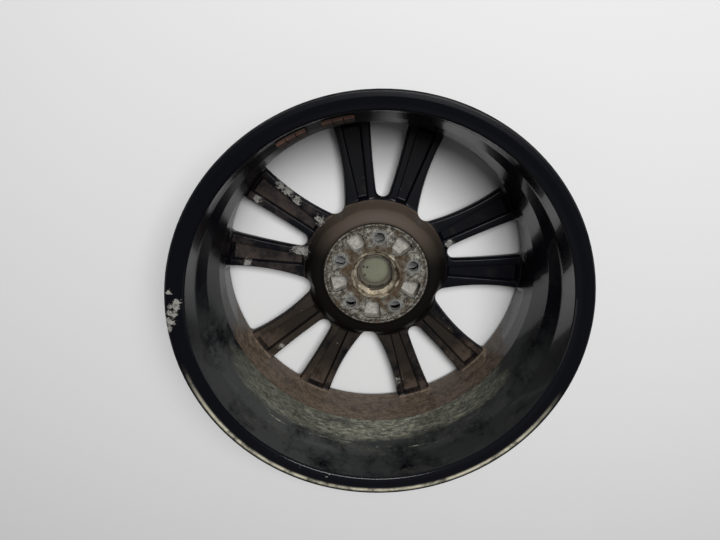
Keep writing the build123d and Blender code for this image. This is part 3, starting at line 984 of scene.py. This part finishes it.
# The boss's dust colours: near black below as painted shade, light brown above as painted light.
HUB_DUST_PAINTED_SHADE, HUB_DUST_PAINTED_LIGHT = rgb(0.0045, 0.0038, 0.0031), rgb(0.060, 0.046, 0.035)
SPOKE_DUST, SPOKE_SPECK = rgb(0.026, 0.020, 0.0155), rgb(0.020, 0.0155, 0.012)
CHANNEL_DUST, LEFT_DUST = rgb(0.012, 0.0095, 0.0078), rgb(0.040, 0.031, 0.027)
RIM_END_DUST = rgb(0.056, 0.041, 0.031)
BARE, BARE_DARK = rgb(0.27, 0.265, 0.245), rgb(0.10, 0.095, 0.085)
# The lip's colour is partly bare metal and partly a painted highlight.
LIP_METAL_AND_HIGHLIGHT = rgb(0.50, 0.47, 0.36)

seat = greatest(*(band(height, *span, 1.0) for span in ((-43, -27), (126, 143))))
rub = use(tree, dirt_group, Place=smear_place, Cover=0.55, Cloud=0.03, Grain=0.4)
rubbed_seat = product(tyre_side, rub["Mask"], plus(0.3, (seat, 0.6)))
well_tan = product(ramp(rust_cloud, 0.50, 0.64), 0.6)
well_colour = layered(WELL_DARK, (ramp(scrape, 0.36, 0.60), WELL_DUST), (well_tan, WELL_TAN))
rim_end = product(ramp(radius, 160.0, 222.0), low_side, ramp(rust_cloud, 0.40, 0.60))
dust_and_boss_shading = layered(
    SPOKE_DUST, (speck, SPOKE_SPECK), (product(channel, 0.55), CHANNEL_DUST),
    (rim_end, RIM_END_DUST), (product(left, without(low_side)), LEFT_DUST),
    # On the boss the dust is painted lighter above and near black below: partly dust, partly
    # painted light and shade.
    (boss, blend(ramp(down, -0.15, -0.95), HUB_DUST_PAINTED_SHADE, HUB_DUST_PAINTED_LIGHT)),
)
colour = layered(
    BLACK,
    (rubbed_seat, SEAT_GREY),
    (smudged, SMUDGE),
    (filmy, blend(chalk, FILM_DARK, FILM_PALE)),
    (well_dust_and_crease_shade, well_colour),
    (dust_and_wall_shade, dust_and_boss_shading),
    (worn_and_highlit_lip, LIP_METAL_AND_HIGHLIGHT),
    (bare, blend(ramp(crust, 0.35, 0.60), BARE_DARK, BARE)),
    (pocket, wall_shade_and_light),
    (pocket_floor, skin_colour),
    (greatest(pad, notch), pad_colour),
    (bore, bore_colour),
)
feed(shader.inputs["Base Color"], colour)

# %% [markdown]
# ### Gloss and relief
# Clean lacquer is a clear coat over dark paint; dirt and bare metal have none and are rough. So
# the same masks drive the coat, and the coat is duller on the left wall and on the flange's
# flat. The relief is under half a millimetre, which a Bump node gives without more triangles.

# %% Material: gloss, metal and relief
BUMP_STRENGTH, BUMP_METRES = 0.6, 0.0004

raw = greatest(pad, notch, pocket, bare)
covered = greatest(
    filmy, dust_and_wall_shade, well_dust_and_crease_shade, raw, worn_and_highlit_lip,
    product(smudged, 0.5), product(gummed, 0.85),
)
roughness = plus(0.26, (covered, 0.40), (centre, 0.14), (tyre_side, 0.22), (boss, -0.30))
feed(shader.inputs["Roughness"], roughness)

clear = without(greatest(covered, bore, tyre_side))
flange_face = product(ramp(radius, 242.0, 247.0), ledge)
hazed = product(barrel, ramp(at["Across"], -50.0, -190.0))
dulled = greatest(hazed, product(flange_face, 0.8))
coat = product(plus(0.10, (barrel, 0.34)), clear, plus(1.0, (dulled, -0.85)))
feed(shader.inputs["Coat Weight"], coat)
metal = greatest(product(raw, 0.3), product(bore, 0.85))
feed(shader.inputs["Metallic"], metal)

relief = plus(
    product(maths("SUBTRACT", crust, pits), pad),
    (settled["Tone"], product(dust_and_wall_shade, 0.5)), (bare, -0.3),
    (product(crease_shade_and_groove, barrel), -0.5),
)
bump = put("Bump", BUMP_STRENGTH, BUMP_METRES, 1.0, relief)
feed(shader.inputs["Normal"], bump)
print("black_alloy:", len(tree.nodes), "nodes")

# %% [markdown]
# ## The small parts
# The cap is a pale moulded plastic that has yellowed and caught brake dust round its rim, with
# three small dimples; its outer part is darkened partly by that dust and partly as painted shade
# from the bore, and the dimples are painted dark as shade. The weights are steel strips whose zinc
# has gone, and the tape under them is grey foam; the faces of the strips that don't look inboard
# are painted dark as shade. Their shapes are right in the CAD, so the cap and the weights are
# copies with their edges rounded, and the tapes stay as they are and only get a finish.

# %% Small parts: copies with rounded edges
CAP_BEVEL, STRIP_BEVEL, COPY_ANGLE = 0.18 * MM, 0.25 * MM, 30.0


def rounded_copy(name, node, offset):
    """A copy of a CAD mesh, merged, with its sharp edges bevelled by an offset."""
    work = bmesh.new()
    work.from_mesh(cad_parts[node].data)
    bmesh.ops.remove_doubles(work, verts=work.verts, dist=0.005 * MM)
    bmesh.ops.dissolve_limit(
        work, angle_limit=np.radians(FLAT_ANGLE), verts=work.verts, edges=work.edges
    )
    rounded(work, sharp_edges(work, COPY_ANGLE), offset)
    piece = finished(name, work)
    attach(piece, "root")
    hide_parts(node)
    return piece


cap = rounded_copy("cap_moulding", "centre_cap", CAP_BEVEL)
strips = [rounded_copy(f"weight_strip_{k}", f"balance_weight_{k}", STRIP_BEVEL) for k in (1, 2)]

# %% Materials: cap, weights and tape
CAP_PALE, CAP_GRIMY = rgb(0.165, 0.170, 0.108), rgb(0.078, 0.080, 0.055)
# The cap's outer colour is partly dust and partly painted shade, and the dimple colour is painted
# shade.
CAP_OUTER_DUST_AND_SHADE, CAP_RING, DIMPLE_SHADE = (
    rgb(0.065, 0.062, 0.042), rgb(0.065, 0.056, 0.040), rgb(0.015, 0.013, 0.010)
)
RUST_DARK, RUST_PALE = rgb(0.075, 0.040, 0.028), rgb(0.165, 0.075, 0.045)
# The colour of the strips' side and inner faces is painted shade.
WEIGHT_SIDE_SHADE = rgb(0.022, 0.016, 0.013)
# Dimples of the cap as (radius, degrees).
DIMPLES, DIMPLE_Z = ((13.0, 170.0), (18.5, 172.0), (18.5, 214.0)), -29.2

cap_plastic, tree, shader = principled("cap_plastic", Roughness=0.5)
at = use(tree, place_group)
grime = use(tree, dirt_group, Place=at["Place"], Cover=0.5, Cloud=0.06, Grain=1.5)
middles = [
    (reach * np.cos(np.radians(turn)), reach * np.sin(np.radians(turn)), DIMPLE_Z)
    for reach, turn in DIMPLES
]
# The dimples are painted dark as the shade inside them.
dimple_shade = greatest(*(
    ramp(distance(at["Place"], middle), 2.3, 1.7) for middle in middles
))
tint = layered(
    blend(grime["Tone"], CAP_PALE, CAP_GRIMY),
    # The outer part of the cap: partly dust, partly painted shade from the bore.
    (ramp(at["Radius"], 15.0, 22.5), CAP_OUTER_DUST_AND_SHADE),
    (ramp(at["Radius"], 20.2, 21.6), CAP_RING),
    (dimple_shade, DIMPLE_SHADE),
)
feed(shader.inputs["Base Color"], tint)

rusted_steel, tree, shader = principled("rusted_steel", Roughness=0.7)
at = use(tree, place_group)
scale_rust = use(tree, dirt_group, Place=at["Place"], Cover=0.5, Cloud=0.2, Grain=1.5)
rust_colour = blend(scale_rust["Mask"], RUST_DARK, RUST_PALE)
# Only faces that look inboard show the rust; the other faces are painted dark as shade.
end_face = plus(0.15, (ramp(at["Facing"], 0.5, 0.8), 0.85))
feed(shader.inputs["Base Color"], blend(end_face, WEIGHT_SIDE_SHADE, rust_colour))

foam_tape, tree, shader = principled("foam_tape", Roughness=0.9)
cells = noise(use(tree, place_group)["Place"], 2.0)
feed(shader.inputs["Base Color"], blend(cells, grey(0.03), grey(0.08)))

# %% Each piece gets its finish
for piece, material in (
    (casting, alloy),
    (cap, cap_plastic),
    (strips[0], rusted_steel),
    (strips[1], rusted_steel),
    (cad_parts["weight_tape_1"], foam_tape),
    (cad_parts["weight_tape_2"], foam_tape),
):
    piece.data.materials.clear()
    piece.data.materials.append(material)
    print(piece.name, "is", material.name)

# %% [markdown]
# ## Floor and light
# A plain pale floor, wide enough to fill the view. Black lacquer shows mostly what it mirrors,
# so the key light is a large panel, high and towards the top of the picture, which the barrel
# mirrors as a soft band. Two weak panels at the sides keep the walls from going flat.

# %% Stage
FLOOR_Z, FLOOR_GAP, FLOOR_SIZE = -57.45 * MM, 0.2 * MM, 8.0
bpy.ops.mesh.primitive_plane_add(size=FLOOR_SIZE, location=(0, 0, FLOOR_Z - FLOOR_GAP))
floor = bpy.context.object
floor.name = "floor"
floor_paint = principled("floor_paint", Roughness=0.9, Base_Color=grey(0.62))[0]
floor.data.materials.append(floor_paint)

world = bpy.data.worlds.new("studio")
world.use_nodes = True
sky = world.node_tree.nodes["Background"].inputs
sky["Color"].default_value = grey(0.85)
sky["Strength"].default_value = 0.2
bpy.context.scene.world = world
bpy.context.scene.view_settings.view_transform = "Standard"

# %% Lamps
def softbox(name, place, target, width, length, watts):
    """A rectangular area lamp aimed at a target."""
    data = bpy.data.lights.new(name, "AREA")
    data.shape = "RECTANGLE"
    data.size, data.size_y = width, length
    data.energy = watts
    lamp = bpy.data.objects.new(name, data)
    look = Vector(target) - Vector(place)
    lamp.matrix_world = aimed(Vector(place), look, Vector((0, 0.02, 1)))
    bpy.context.collection.objects.link(lamp)


softbox("key", (0.25, 0.95, 2.25), (0, 0, 0), 1.4, 0.9, 74)
softbox("left fill", (-1.9, -0.7, 0.7), (0, 0.1, 0), 1.0, 0.8, 1.5)
softbox("right fill", (1.9, -0.7, 0.7), (0, 0.1, 0), 1.0, 0.8, 1.5)
print("lamps:", [lamp.name for lamp in bpy.data.lights])
